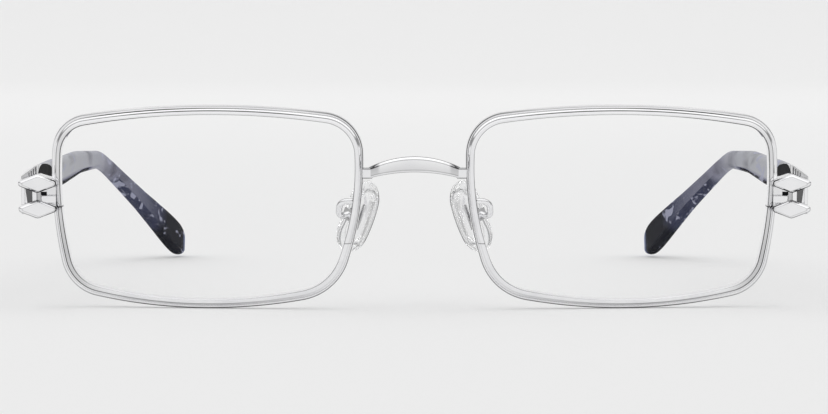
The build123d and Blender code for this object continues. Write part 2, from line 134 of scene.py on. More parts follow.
def mirrored(surface):
    # The same surface on the other side of the middle plane
    points, quads, fans, shade = surface
    return points * np.array([-1.0, 1.0, 1.0]), quads[:, ::-1], fans[:, ::-1], shade


def makePiece(name, surfaces, material, body, replaced=()):
    # One mesh from several surfaces, smooth, with each point's normal the sum of its faces'
    # normals weighed by their areas, so that flats stay flat beside small round edges
    points, faces, normals, shades, start = [], [], [], [], 0
    for xyz, quads, fans, shade in surfaces:
        turn = np.zeros_like(xyz)
        for corners in (quads, fans):
            p = xyz[corners]
            area = np.cross(p[:, 2] - p[:, 0], p[:, -1] - p[:, 1])
            for column in corners.T:
                np.add.at(turn, column, area)
        normals.append(turn / np.linalg.norm(turn, axis=1, keepdims=True))
        points.append(xyz)
        shades.append(shade)
        faces += (quads + start).tolist() + (fans + start).tolist()
        start += len(xyz)
    mesh = bpy.data.meshes.new(name)
    mesh.from_pydata((np.vstack(points) * 0.001).tolist(), [], faces)
    mesh.polygons.foreach_set("use_smooth", [True] * len(mesh.polygons))
    mesh.normals_split_custom_set_from_vertices(np.vstack(normals).tolist())
    layer = mesh.attributes.new("shade", "FLOAT", "POINT")
    layer.data.foreach_set("value", np.concatenate(shades).astype(np.float32))
    mesh.materials.append(material)
    mesh.update()
    piece = bpy.data.objects.new(name, mesh)
    bpy.context.scene.collection.objects.link(piece)
    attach(piece, body)
    if replaced:
        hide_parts(*replaced)


def makePair(name, surfaces, material, replaced=(), body="front"):
    # The piece on the right and its mirror image on the left. A body and a replaced node
    # have the side's name before them, apart from the front, which both sides share.
    for side, shapes in (("right", surfaces), ("left", [mirrored(s) for s in surfaces])):
        makePiece(side + name, shapes, material, body if body == "front" else side + body,
                  [side + node for node in replaced])


def filletPath(corners, radii, steps=80):
    # Points along straight runs joined by circle arcs, and their distances from the start
    corners = np.asarray(corners, dtype=float)
    arcs = cornerArcs(corners[:-2], corners[1:-1], corners[2:], np.array(radii)[:, None], steps)
    points = np.vstack([corners[:1], arcs.reshape(-1, 3), corners[-1:]])
    length = np.append(0, np.cumsum(np.linalg.norm(np.diff(points, axis=0), axis=1)))
    return points, length


def alongPath(points, length, where, nearby=0.4):
    # Place and direction at given distances along a path
    def placeAt(distance):
        return np.stack([np.interp(distance, length, column) for column in points.T], axis=-1)

    gap = placeAt(where + nearby) - placeAt(where - nearby)
    return placeAt(where), gap / np.linalg.norm(gap, axis=-1, keepdims=True)


def roundBlock(low, high, radius, steps=5, leastRadius=0.02):
    # A block with rounded edges: rows go up a rounded outline whose size follows a quarter
    # circle at the bottom and at the top
    low, high = np.asarray(low, dtype=float), np.asarray(high, dtype=float)
    turn = np.linspace(0, math.pi / 2, steps)
    drawnIn = np.concatenate([radius * (1 - np.sin(turn)), radius * (1 - np.cos(turn))])
    height = np.concatenate([low[2] + radius * (1 - np.cos(turn)),
                             high[2] - radius * (1 - np.sin(turn))])
    middle, half = (low + high)[:2] / 2, (high - low)[:2] / 2
    outline = np.array([(-1, -1), (1, -1), (1, 1), (-1, 1)])
    corners = middle + outline * (half - drawnIn[:, None])[:, None, :]
    loops = roundedLoop(corners, np.maximum(radius - drawnIn, leastRadius)[:, None], steps)
    rise = np.broadcast_to(height[:, None, None], loops.shape[:2] + (1,))
    return np.concatenate([loops, rise], axis=-1)


def turnedBody(radii, heights, count=48):
    # A profile of radii and heights turned about Z
    angle = np.linspace(0, 2 * math.pi, count, endpoint=False)
    radii, heights = np.asarray(radii, dtype=float), np.asarray(heights, dtype=float)
    return np.stack([radii[:, None] * np.cos(angle), radii[:, None] * np.sin(angle),
                     np.broadcast_to(heights[:, None], (len(radii), count))], axis=-1)


# Helpers for materials

def linear(hexText):
    # sRGB hex to linear colour
    parts = [int(hexText[k:k + 2], 16) / 255 for k in (1, 3, 5)]
    return (*(c / 12.92 if c <= 0.04045 else ((c + 0.055) / 1.055) ** 2.4 for c in parts), 1.0)


def addNode(tree, kind, settings=None, values=None, links=None, stops=()):
    # A node with its settings, the values of its sockets, what each socket is linked to,
    # and the stops of its colour ramp if it has one
    node = tree.nodes.new("ShaderNode" + kind)
    for key, value in (settings or {}).items():
        setattr(node, key, value)
    for key, value in (values or {}).items():
        node.inputs[key].default_value = value
    for key, (source, output) in (links or {}).items():
        tree.links.new(source.outputs[output], node.inputs[key])
    for k, (place, tone) in enumerate(stops):
        elements = node.color_ramp.elements
        element = elements[k] if k < len(elements) else elements.new(place)
        element.position = place
        element.color = linear(tone) if isinstance(tone, str) else (tone, tone, tone, 1.0)
    return node


def newMaterial(name):
    material = bpy.data.materials.new(name)
    material.use_nodes = True
    tree = material.node_tree
    tree.nodes.clear()
    return material, tree, addNode(tree, "TexCoord")


def cloudyTone(tree, place, sizeMm, detail, stops):
    # A colour that drifts between the stops in clouds of a size
    cloud = addNode(tree, "TexNoise", links={"Vector": (place, "Object")},
                    values={"Scale": 1000.0 / sizeMm, "Detail": detail})
    return addNode(tree, "ValToRGB", links={"Fac": (cloud, "Fac")}, stops=stops)


def finishMaterial(material, shader):
    addNode(material.node_tree, "OutputMaterial", links={"Surface": (shader, "BSDF")})
    return material


# Materials

# Silver-coloured plating over nickel silver wire, buffed on a cloth wheel. It mirrors the
# room almost sharply, with a faint haze where the buffing left hairlines.
platedMetal = {
    # The near-black tone below is painted shade, and the dark of the rim's seams
    "tone": "#FAFAFB", "toneLow": "#F3F3F5", "cloudMm": 6.0, "shadeAndSeamTone": "#18181A",
    "hairlineMm": 0.35,  # real hairlines are finer; drawn this coarse to show
    "roughness": (0.05, 0.1), "scratch": 0.012,
}

# Drawn steel wire and small turned screws: greyer and duller than the plating
drawnSteel = dict(platedMetal, tone="#B9BABD", toneLow="#A3A4A8", hairlineMm=0.25,
                  roughness=(0.16, 0.28))


def makePlatedMetal(name, finish):
    material, tree, place = newMaterial(name)
    stretch = addNode(tree, "Mapping", values={"Scale": (0.25, 1.0, 1.0)},
                      links={"Vector": (place, "Object")})
    haze = addNode(tree, "TexNoise", links={"Vector": (stretch, "Vector")},
                   values={"Scale": 1000.0 / finish["hairlineMm"], "Detail": 3.0, "Roughness": 0.6})
    tone = cloudyTone(tree, place, finish["cloudMm"], 2.0,
                      ((0.3, finish["toneLow"]), (0.65, finish["tone"])))
    low, high = finish["roughness"]
    rough = addNode(tree, "MapRange", links={"Value": (haze, "Fac")},
                    values={"From Min": 0.3, "From Max": 0.7, "To Min": low, "To Max": high})
    bump = addNode(tree, "Bump", links={"Height": (haze, "Fac")},
                   values={"Strength": finish["scratch"], "Distance": 0.0002})
    # The shade attribute mixes in a dark tone: painted shade and painted dark reflections along
    # edges, in grooves and where parts meet, and the dark of the rim's seams
    groove = addNode(tree, "Attribute", {"attribute_name": "shade"})
    colour = addNode(tree, "Mix", {"data_type": "RGBA"},
                     {7: linear(finish["shadeAndSeamTone"])}, {0: (groove, "Fac"), 6: (tone, "Color")})
    shader = addNode(tree, "BsdfPrincipled", values={"Metallic": 1.0},
                     links={"Base Color": (colour, 2), "Roughness": (rough, "Result"),
                            "Normal": (bump, "Normal")})
    return finishMaterial(material, shader)


# Painted shade: a nearly black, matt finish for the arch in the hollow of the temple's metal front
# and the pocket between the studs, where these lie in shade
shadeBlack = {"tones": ((0.35, "#101113"), (0.7, "#1B1C1F")), "cloudMm": 1.6, "detail": 3.0,
              "roughness": 0.7, "specular": 0.05, "glow": 0.0}

# Seamless paper lit from behind as well, so that its white stays even up to the top
seamlessPaper = {"tones": ((0.0, "#D7D7D7"), (1.0, "#D9D9D9")), "cloudMm": 1.111, "detail": 2.0,
                 "roughness": 0.9, "specular": 0.0, "glow": 0.172}


def makeMatt(name, finish):
    material, tree, place = newMaterial(name)
    tone = cloudyTone(tree, place, finish["cloudMm"], finish["detail"], finish["tones"])
    shader = addNode(tree, "BsdfPrincipled", links={"Base Color": (tone, "Color")},
                     values={"Roughness": finish["roughness"],
                             "Specular IOR Level": finish["specular"],
                             "Emission Color": (1.0, 1.0, 1.0, 1.0),
                             "Emission Strength": finish["glow"]})
    return finishMaterial(material, shader)


# CR-39 lens resin, cast and polished, with a hard coat: clear, no tint, so it barely shows
lensResin = {"tone": "#FDFDFD", "toneEdge": "#F8FAFA", "cloudMm": 20.0, "lineShadeTone": "#3E4044",
             "roughness": 0.0, "alpha": 0.12, "ior": 1.0}

# Soft clear PVC of the nose pads, moulded and glossy: clear in the middle, bright at the rim
padPlastic = {"tone": "#FCFCFD", "toneEdge": "#F3F4F6", "cloudMm": 2.0, "lineShadeTone": "#101114",
              "roughness": 0.04, "alpha": 0.4, "ior": 1.3}


def makeClear(name, finish):
    material, tree, place = newMaterial(name)
    tone = cloudyTone(tree, place, finish["cloudMm"], 1.0,
                      ((0.3, finish["toneEdge"]), (0.7, finish["tone"])))
    # Painted shade: lines along the pads' edges and beside their valley are darker and less clear,
    # standing in for the dark edges that clear plastic shows
    lineShade = addNode(tree, "Attribute", {"attribute_name": "shade"})
    colour = addNode(tree, "Mix", {"data_type": "RGBA"},
                     {7: linear(finish["lineShadeTone"])}, {0: (lineShade, "Fac"), 6: (tone, "Color")})
    alpha = addNode(tree, "MapRange", links={"Value": (lineShade, "Fac")},
                    values={"To Min": finish["alpha"], "To Max": 1.0})
    shader = addNode(tree, "BsdfPrincipled",
                     values={"Roughness": finish["roughness"], "IOR": finish["ior"],
                             "Transmission Weight": 1.0, "Coat Weight": 1.0, "Coat Roughness": 0.0},
                     links={"Base Color": (colour, 2), "Alpha": (alpha, "Result")})
    return finishMaterial(material, shader)


# Cellulose acetate cut from marbled sheet and tumbled to a gloss: slate at the front and
# nearly black navy towards the tips, with pale lavender chips drawn out along the temple
marbledAcetate = {
    # Darkness of the sheet along the temple, and its colour there; the last, pale blue stop is a
    # painted highlight where the tip's end catches light
    "ground": ((0.0, "#C2C3C7"), (0.06, "#B6B7BC"), (0.25, "#A5A6B0"), (0.45, "#878797"),
               (0.62, "#646679"), (0.75, "#363950"), (0.82, "#0D0F1B"), (0.93, "#0A0C17"),
               (1.0, "#8C98BE")),
    "chipTone": "#A9ABC0", "veinTone": "#1B1D28", "chipMm": 1.9, "veinMm": 7.0,
    # How the pattern is squeezed, least along the temple, where it is drawn out, and tilted
    "squeeze": (1.0, 0.33, 0.8), "tilt": (0.45, 0.0, 0.0), "warp": 0.8,
    "veins": ((0.5, 0.0), (0.66, 0.45)), "chips": ((0.62, 0.0), (0.68, 0.8)),
    # More chips show on the lower edge behind the bend, where the sheet's layers end
    "edgeChips": ((0.69, 0.0), (0.71, 0.09), (0.77, 0.09), (0.79, 0.0)),
    "roughness": (0.3, 0.38), "coat": 0.14, "coatRoughness": 0.08, "ior": 1.48,
}


def makeMarbledAcetate(name, finish):
    material, tree, place = newMaterial(name)
    along = addNode(tree, "Mapping", links={"Vector": (place, "Object")},
                    values={"Scale": finish["squeeze"], "Rotation": finish["tilt"]})
    chips, veins = [addNode(tree, "TexNoise", links={"Vector": (along, "Vector")},
                            values={"Scale": 1000.0 / finish[size], "Detail": 2.5,
                                    "Distortion": finish["warp"]})
                    for size in ("chipMm", "veinMm")]
    # The shade attribute tells how far the sheet has darkened
    drift = addNode(tree, "Attribute", {"attribute_name": "shade"})
    ground, edgeChips = [addNode(tree, "ValToRGB", links={"Fac": (drift, "Fac")},
                                 stops=finish[key]) for key in ("ground", "edgeChips")]
    veinMask = addNode(tree, "ValToRGB", links={"Fac": (veins, "Fac")},
                       stops=finish["veins"])
    veined = addNode(tree, "Mix", {"data_type": "RGBA"},
                     {7: linear(finish["veinTone"])},
                     {0: (veinMask, "Color"), 6: (ground, "Color")})
    chipLevel = addNode(tree, "Math", {"operation": "ADD"},
                        links={0: (chips, "Fac"), 1: (edgeChips, "Color")})
    chipMask = addNode(tree, "ValToRGB", links={"Fac": (chipLevel, "Value")},
                       stops=finish["chips"])
    colour = addNode(tree, "Mix", {"data_type": "RGBA"},
                     {7: linear(finish["chipTone"])}, {0: (chipMask, "Color"), 6: (veined, 2)})
    low, high = finish["roughness"]
    rough = addNode(tree, "MapRange", values={"To Min": low, "To Max": high},
                    links={"Value": (veins, "Fac")})
    shader = addNode(tree, "BsdfPrincipled",
                     values={"IOR": finish["ior"], "Specular IOR Level": 0.0,
                             "Coat Weight": finish["coat"],
                             "Coat Roughness": finish["coatRoughness"]},
                     links={"Base Color": (colour, 2), "Roughness": (rough, "Result")})
    return finishMaterial(material, shader)


plating = makePlatedMetal("platedNickelSilver", platedMetal)
steel = makePlatedMetal("turnedSteel", drawnSteel)
shadeMatt = makeMatt("shadeBlack", shadeBlack)
resin = makeClear("clearLensResin", lensResin)
softPlastic = makeClear("clearPadPlastic", padPlastic)
acetate = makeMarbledAcetate("slateMarbledAcetate", marbledAcetate)
paper = makeMatt("seamlessPaper", seamlessPaper)
print("scene: materials made")


# The eye outline

eyeShape = {
    "corners": ((-26.2, 15.35), (28.15, 14.2), (26.0, -16.0), (-21.9, -15.8)),
    "rises": (2.65, 1.35, 2.7, 2.2),
    "radii": (7.5, 7.0, 7.7, 10.2),
    "ledge": 0.55, "noseLedge": 0.3,
    "ball": 130.0, "wrap": 6.0, "lean": 6.0, "middle": 36.0, "height": 18.3117,
    "seam": -1.1, "seamGap": 0.12, "noseSeam": -6.78,
}


def eyeArcs(ledgeShare, bandInset):
    # The outline as eight arcs, with its points as complex numbers. Each side is the circle
    # through two corners that rises above their chord, and each corner is the circle that
    # touches both sides from inside: its middle is at (side radius - corner radius) from both
    # sides' middles. Even arcs are corners; 1 is the top, 3 the temple side, 5 the bottom and
    # 7 the nose side.
    side, nose = [ledgeShare * eyeShape[key] + bandInset for key in ("ledge", "noseLedge")]
    x, z = np.array(eyeShape["corners"]).T
    corners = x + (nose, -side, -side, nose) + 1j * (z + (-side, -side, side, side))
    after = np.roll(corners, -1)
    chord = np.abs(after - corners)
    rises = np.array(eyeShape["rises"])
    sideRadius = (chord ** 2 / 4 + rises ** 2) / (2 * rises)
    sideMiddle = (corners + after) / 2 + 1j * (after - corners) / chord * (rises - sideRadius)
    cornerRadius = np.array(eyeShape["radii"]) - side
    beforeMiddle, beforeRadius = np.roll(sideMiddle, 1), np.roll(sideRadius, 1)
    a, b = beforeRadius - cornerRadius, sideRadius - cornerRadius
    gap = np.abs(sideMiddle - beforeMiddle)
    reach = (a ** 2 - b ** 2 + gap ** 2) / (2 * gap)
    lift = 1j * np.sqrt(a ** 2 - reach ** 2)
    one, two = [beforeMiddle + (sideMiddle - beforeMiddle) / gap * way
                for way in (reach + lift, reach - lift)]
    cornerMiddle = np.where(np.abs(one - corners) < np.abs(two - corners), one, two)
    # Where the side before meets the corner, and where the corner meets its own side
    enter, leave = np.angle(cornerMiddle - beforeMiddle), np.angle(cornerMiddle - sideMiddle)
    arcs = []
    for k in range(4):
        arcs.append((cornerMiddle[k], cornerRadius[k], enter[k], leave[k]))
        arcs.append((sideMiddle[k], sideRadius[k], leave[k], enter[(k + 1) % 4]))
    return arcs


def arcPoints(arc, count, start=None, end=None, last=False):
    # Points along an arc that runs clockwise, from a start to an end angle
    middle, radius, a, b = arc
    a = a if start is None else start
    b = b if end is None else end
    angle = np.linspace(a, a - (a - b) % (2 * math.pi), count, endpoint=last)
    points = middle + radius * np.exp(1j * angle)
    return np.stack([points.real, points.imag], axis=1)


def angleAtHeight(arc, height, onTemple):
    # Where an arc of the temple side or the nose side reaches a height
    middle, radius = arc[:2]
    rise = math.asin((height - middle.imag) / radius)
    return rise if onTemple else math.pi - rise


def closedOutline(inset, cornerCount, sideCount):
    counts = (cornerCount, sideCount) * 4
    return np.vstack([arcPoints(arc, count) for arc, count in zip(eyeArcs(1.0, inset), counts)])


def openOutline(ledgeShare, bandInset, first, height, cornerCount=26, sideCount=72):
    # The outline from a height on its first arc, clockwise to the temple seam's upper lip
    arcs = eyeArcs(ledgeShare, bandInset)
    start = angleAtHeight(arcs[first], height, first == 3)
    parts = [arcPoints(arcs[first], sideCount // 2, start=start)]
    parts += [arcPoints(arcs[k % 8], sideCount if k % 2 else cornerCount)
              for k in range(first + 1, 11)]
    end = angleAtHeight(arcs[3], eyeShape["seam"] + eyeShape["seamGap"] / 2, True)
    return np.vstack(parts + [arcPoints(arcs[3], sideCount // 2, end=end, last=True)])


def onBall(outline, depth):
    # Points of the eye plane set back onto a ball of the base curve, and moved to the part
    ball = eyeShape["ball"]
    back = ball - np.sqrt((ball - depth) ** 2 - np.sum(outline ** 2, axis=-1))
    points = np.stack([outline[..., 0], back, outline[..., 1]], axis=-1)
    return frontToPart(turned(points, "z", eyeShape["wrap"]) + np.array([eyeShape["middle"], 0, 0]))


def frontToPart(points):
    # From the leaning front's own frame to the part's
    return turned(points, "x", eyeShape["lean"]) + np.array([0, 0, eyeShape["height"]]) + partShift


def onFront(grid, shade=0.0):
    # A closed surface given in the leaning front's own frame
    return surfaceOf(frontToPart(grid), shade)


def carryProfile(profile, start):
    # A profile of (inset, depth) carried along the outline: inset runs over the ledge first and
    # then over the band. Beside it, how much painted shade each point gets: its share of a line
    # times that line's strength in its direction.
    ledge, columns, shades = eyeShape["ledge"], [], []
    plan = openOutline(1.0, rimShape["middleInset"], *start)
    way = np.degrees(np.arctan2(plan[:, 1], plan[:, 0])) % 360
    for inset, depth, line, share in profile:
        outline = openOutline(min(inset / ledge, 1.0), max(inset - ledge, 0.0), *start)
        columns.append(onBall(outline, depth))
        strength = rimShape[line] if line else np.zeros(len(rimShape["around"]))
        shades.append(share * np.interp(way, rimShape["around"], strength))
    return np.stack(columns, axis=1), np.stack(shades, axis=1)


# Rims and lenses

# Each profile row: inset from the outer edge, depth from the front, and how much of each line of
# painted shade it holds (outer edge, foot of the band, edge of the band's bevel, the flat lip
# beside it, inner edge). The lines stand in for the dark reflections and the shade in the corners
# of the polished rim.
rimShape = {
    "eyewire": ((0.0, 1.85, 0, 0), (0.0, 1.2, 0, 0), (0.0, 0.62, "outer", 0.8),
        (0.015, 0.54, "outer", 1.0), (0.065, 0.475, "outer", 1.0), (0.12, 0.45, "outer", 1.0),
        (0.17, 0.447, "outer", 0.5), (0.3, 0.44, 0, 0), (0.4, 0.452, 0, 0),
        (0.44, 0.48, "foot", 0.9), (0.5, 0.5, "foot", 1.0), (0.555, 0.46, "foot", 1.0),
        (0.59, 0.4, "foot", 0.3), (0.63, 0.36, 0, 0), (0.74, 0.28, 0, 0),
        (0.81, 0.215, "bevel", 0.6), (0.84, 0.2, "bevel", 1.0), (0.93, 0.195, "bevel", 1.0),
        (0.965, 0.19, "lip", 1), (1.1, 0.175, "lip", 1), (1.28, 0.175, "lip", 1),
        (1.46, 0.19, "lip", 1), (1.5, 0.2, "inner", 1.0), (1.555, 0.235, "inner", 1.0),
        (1.595, 0.3, "inner", 1.0), (1.6, 0.4, "inner", 0.3), (1.6, 0.55, 0, 0), (1.6, 1.2, 0, 0),
        (1.6, 1.93, 0, 0), (1.55, 2.02, 0, 0), (1.46, 2.05, 0, 0), (0.8, 2.05, 0, 0),
        (0.15, 2.05, 0, 0), (0.04, 1.99, 0, 0)),
    "brow_wire": ((0.555, 0.36, "foot", 1.0), (0.56, 0.3, "foot", 0.8), (0.585, 0.25, 0, 0),
        (0.7, 0.14, 0, 0), (0.8, 0.045, "bevel", 0.6), (0.83, 0.02, "bevel", 1.0),
        (0.92, 0.012, "bevel", 1.0), (0.955, 0.014, "lip", 1), (1.08, 0.003, "lip", 1),
        (1.26, 0.0, "lip", 1), (1.44, 0.008, "lip", 1), (1.49, 0.02, "inner", 1.0),
        (1.55, 0.05, "inner", 1.0), (1.59, 0.11, "inner", 1.0), (1.6, 0.17, "inner", 0.3),
        (1.602, 0.24, 0, 0), (1.3, 0.26, 0, 0), (0.9, 0.28, 0, 0)),
    "seamDark": 0.9, "endRows": ((1, 0.1), (2, 0.2)), "middleInset": 0.5,
    # How dark each line of painted shade is round the eye, by the direction from its middle in
    # degrees (0 the temple, 90 the top, 180 the nose)
    "around": (0, 12, 22, 30, 38, 50, 62, 90, 130, 150, 165, 180, 200, 215, 240, 270, 300, 309, 320,
               329, 340, 352, 360),
    "outer": (0.3, 0.25, 0.25, 0.5, 0.35, 0.2, 0.25, 0.3, 0.35, 0.9, 1.0, 1.0, 0.8, 0.8, 0.9, 1.0,
              1.0, 0.9, 0.7, 0.5, 0.4, 0.35, 0.3),
    "foot": (0.4, 0.15, 0.15, 0.4, 0.9, 1.0, 0.9, 0.65, 0.35, 0.35, 0.3, 0.2, 0.2, 0.2, 0.2, 0.1,
             0, 0, 0, 0.15, 0.3, 0.35, 0.4),
    "bevel": (0.7, 0.7, 0.6, 0.2, 0.4, 0.8, 0.9, 1.0, 0.9, 0.25, 0.1, 0.1, 0.1, 0.1, 0.3, 0.6,
              0.6, 0.6, 0.7, 1.0, 1.0, 0.95, 0.7),
    "lip": (0.2, 0.15, 0.15, 0, 0, 0, 0, 0, 0, 0, 0, 0, 0, 0, 0, 0, 0, 0, 0, 0.25, 0.3, 0.25, 0.2),
    "inner": (0.7, 0.8, 0.9, 0.9, 0.9, 0.8, 0.5, 0.45, 0.5, 0.5, 0.5, 0.8, 0.4, 0.5, 0.3, 0.15,
              0.1, 0.1, 0.2, 0.6, 0.9, 0.9, 0.7),
}


def makeRims():
    # The eyewire starts at the temple seam's lower lip, the brow strip at the nose seam
    starts = {"EyewireShell": ("eyewire", (3, eyeShape["seam"] - eyeShape["seamGap"] / 2)),
              "BrowStrip": ("brow_wire", (7, eyeShape["noseSeam"]))}
    for name, (node, start) in starts.items():
        grid, shade = carryProfile(rimShape[node], start)
        # Close rows at both ends, dark where one strip meets the other
        for rows in (grid, shade):
            for k, share in rimShape["endRows"]:
                rows[k] = rows[0] + (rows[k] - rows[0]) * share
                rows[-1 - k] = rows[-1] + (rows[-1 - k] - rows[-1]) * share
        shade[(0, 1, -2, -1), :] = rimShape["seamDark"]
        makePair(name, [surfaceOf(grid, shade)], plating, ["_" + node])


lensShape = {"edgeInset": 0.59, "front": 0.44, "back": 1.61, "rings": 18, "safety": 0.12,
             "firstRing": 0.04, "edgeDrawnIn": 0.006, "counts": (18, 44)}


def makeLenses():
    # Rings of the outline drawn in towards the middle, over the front, the edge and the back
    s = lensShape
    outline = closedOutline(s["edgeInset"], *s["counts"])
    shares = np.sin(np.linspace(s["firstRing"], 1, s["rings"]) * math.pi / 2)
    shares = shares * (1 - s["edgeDrawnIn"])
    rows = [onBall(outline * share, s["front"]) for share in shares]
    rows.append(onBall(outline, s["front"] + s["safety"]))
    rows.append(onBall(outline, s["back"] - s["safety"]))
    rows += [onBall(outline * share, s["back"]) for share in shares[::-1]]
    makePair("LensDisc", [surfaceOf(np.stack(rows))], resin, ["_lens"])


makeRims()
makeLenses()
print("scene: rims and lenses made")


# Bridge

bridgeShape = {
    "halfSpan": 8.1, "crown": 8.72, "crownThick": 2.75, "end": 5.6, "endThick": 1.85,
    "depth": 1.48, "front": -0.93, "bow": 26.0, "bevel": 0.42, "stations": 91,
    "taperFrom": 6.9, "taper": 0.42, "taperBend": 1.5, "bevelLoss": 0.45,
    "neckHeight": 1.9, "neckDepth": 1.3, "neckInside": 0.8, "neckOutside": 1.15,
    "neckRadius": 0.3, "neckLine": 0.6, "neckFlat": 0.3,
    # The section's corners: front low, front high, top bevel, back high, back low, low bevel. lines
    # is the painted shade along each corner, for the dark reflections on its edges
    "radii": (0.16, 0.14, 0.14, 0.3, 0.3, 0.14), "lines": (0.4, 0.35, 1.0, 0.0, 0.0, 0.8),
    # Each corner has 5 points, each divided in 4, and the last ones already lie on the flat.
    # The front face keeps a trace of its lower line at two of them.
    "cornerPoints": 5, "divisions": (0, 0.06, 0.5, 0.94),
    "cornerLine": (1.0,) * 17 + (0.4, 0.0, 0.0), "frontLine": ((17, 0.16), (18, 0.08)),
    # Where the leaf runs into its necks, its upper corners get more painted shade, where the parts
    # meet: where along the span, and by how much at which points round the section
    "rootSpan": (6.0, 6.5, 7.75, 8.05),
    "rootLine": ((17, 0.1), (19, 0.35), (20, 0.9), (36, 0.9), (38, 0.35), (40, 0.9), (58, 0.9),
                 (59, 0)),
    "darkest": 0.95,
}


def arcHeight(x, half, end, crown):
    # Height of the arc through both ends and the crown
    rise = crown - end
    radius = (half ** 2 + rise ** 2) / (2 * rise)
    return crown - radius + np.sqrt(radius ** 2 - x ** 2)


def makeBridge():
    b = bridgeShape
    x = b["halfSpan"] * np.sin(np.linspace(-1, 1, b["stations"]) * math.pi / 2)
    halfEnd = b["endThick"] / 2
    top = arcHeight(x, b["halfSpan"], b["end"] + halfEnd, b["crown"])
    low = arcHeight(x, b["halfSpan"], b["end"] - halfEnd, b["crown"] - b["crownThick"])
    drawn = np.interp(np.abs(x), (b["taperFrom"], b["halfSpan"]), (0, 1)) ** b["taperBend"]
    front = b["front"] + b["bow"] - np.sqrt(b["bow"] ** 2 - x ** 2) + b["taper"] * drawn
    back = b["front"] + b["bow"] - np.sqrt((b["bow"] - b["depth"]) ** 2 - x ** 2)
    bevel = b["bevel"] * (1 - b["bevelLoss"] * drawn)
    corners = ((front, low + bevel), (front, top - bevel), (front + bevel, top), (back, top),
               (back, low), (front + bevel, low))
    loops = roundedLoop(crossSections(corners), b["radii"], b["cornerPoints"])
    loops = divided(loops, b["divisions"])
    across = np.broadcast_to(x[:, None, None], loops.shape[:2] + (1,))
    leaf = np.concatenate([across, loops], axis=-1)
    # Painted shade along the section's corners, standing in for dark reflections, and more where
    # the leaf meets its necks
    line = np.outer(b["lines"], b["cornerLine"]).reshape(-1)
    for point, dark in b["frontLine"]:
        line[point] = dark
    run = np.interp(np.abs(x), b["rootSpan"], (0, 1, 1, 0))
    root = tableAt(b["rootLine"], np.arange(len(line)))
    shade = np.clip(line + run[:, None] * root, 0, b["darkest"])
    angle = math.asin(b["halfSpan"] / b["bow"])
    middleY = b["front"] + b["bow"] * (1 - math.cos(angle)) + b["depth"] / 2
    halfDepth, halfHeight = b["neckDepth"] / 2, b["neckHeight"] / 2
    x0, x1 = b["halfSpan"] - b["neckInside"], b["halfSpan"] + b["neckOutside"]
    neck = roundBlock((x0, middleY - halfDepth, b["end"] - halfHeight),
                      (x1, middleY + halfDepth, b["end"] + halfHeight), b["neckRadius"])
    # Painted shade along the neck's upper and lower edges
    edge = np.abs(np.linspace(-1, 1, len(neck)))[:, None] > b["neckFlat"]
    neck = onFront(neck, np.where(edge, b["neckLine"], 0.0))
    makePiece("archedBridge", [onFront(leaf, shade), neck, mirrored(neck)], plating, "front",
              ["bridge"])


makeBridge()
print("scene: bridge made")


# Studs on the endpieces

studShape = {
    "middleX": 66.5, "halfLength": 3.4, "halfHeight": 1.5, "front": 4.3, "depth": 1.5,
    "tipRadius": 0.5, "crownRadius": 1.0, "heights": (("upper", 3.175), ("lower", -1.375)),
    # The flat's middle from the stud's, its half length and its half height
    "face": (-0.25, 2.98, 1.27), "faceRadii": (0.25, 0.5), "dome": 0.05, "flange": 0.11,
    # edgeDark is painted shade: a thin grey line round the flat
    "faceRings": (0.1, 1, 9), "edgeDark": 0.3, "bevelDepth": 0.36,
    # From the flat's edge (0) to the outer wall (1) and the flange (2): how far out, how far back
    # in bevel depths, though never past the stud's depth, and how much painted shade, where None
    # stands for the painted shade at the foot, a shadow line where the stud meets its bar
    "walls": ((0.07, 0.05, 0.3), (0.12, 0.1, 0), (0.5, 0.5, 0), (0.78, 0.84, 0), (0.82, 0.9, None),
              (1, 1.25, None), (2, 1.35, None), (2, 1.8, None), (2, 2.1, 0), (2, 9, 0)),
    # The painted shade at the foot everywhere, more under the lower sides, and from where on
    # towards the nose
    "footDark": 0.2, "underDark": {"upper": 1.3, "lower": 0.45}, "noseDark": (0.35, 1.8),
    "darkest": 0.95,
}


def lozenge(halfLength, halfHeight, tipRadius, crownRadius, steps=9):
    # A rhombus whose tips and crowns are circle arcs that keep its length and height
    slant = math.atan2(halfHeight, halfLength)
    length = halfLength + tipRadius * (1 / math.sin(slant) - 1)
    height = halfHeight + crownRadius * (1 / math.cos(slant) - 1)
    corners = [(-length, 0), (0, height), (length, 0), (0, -height)]
    return divided(roundedLoop(corners, (tipRadius, crownRadius) * 2, steps), (0, 0.25, 0.5, 0.75))


def makeStud(level, height):
    s = studShape
    size = np.array([s["halfLength"], s["halfHeight"]])
    outer = lozenge(*size, s["tipRadius"], s["crownRadius"])
    shift, length, rise = s["face"]
    inner = lozenge(length, rise, *s["faceRadii"]) + np.array([shift, 0])
    across, up = (outer / size).T
    noseFrom, noseDark = s["noseDark"]
    foot = np.clip(s["footDark"] + np.clip(-up, 0, 1) * s["underDark"][level]
                   + np.clip(-across - noseFrom, 0, 1) * noseDark, 0, s["darkest"])
    away = outer / size ** 2
    flange = outer + s["flange"] * away / np.linalg.norm(away, axis=1, keepdims=True)
    flange[:, 0] = np.minimum(flange[:, 0], s["halfLength"])
    rings = [(inner * share, s["dome"] * share ** 2, s["edgeDark"] * (share == 1))
             for share in np.linspace(*s["faceRings"])]
    rings += [(inner + (outer - inner) * out if out <= 1 else flange,
               s["dome"] + s["bevelDepth"] * back, foot if dark is None else dark)
              for out, back, dark in s["walls"]]
    grid = np.stack([np.insert(plan, 1, back, axis=1) for plan, back, _ in rings])
    shade = np.stack([np.broadcast_to(dark, len(outer)) for _, _, dark in rings])
    grid[..., 1] = np.minimum(grid[..., 1], s["depth"]) + s["front"]
    return onFront(grid + np.array([s["middleX"], 0, height]), shade)
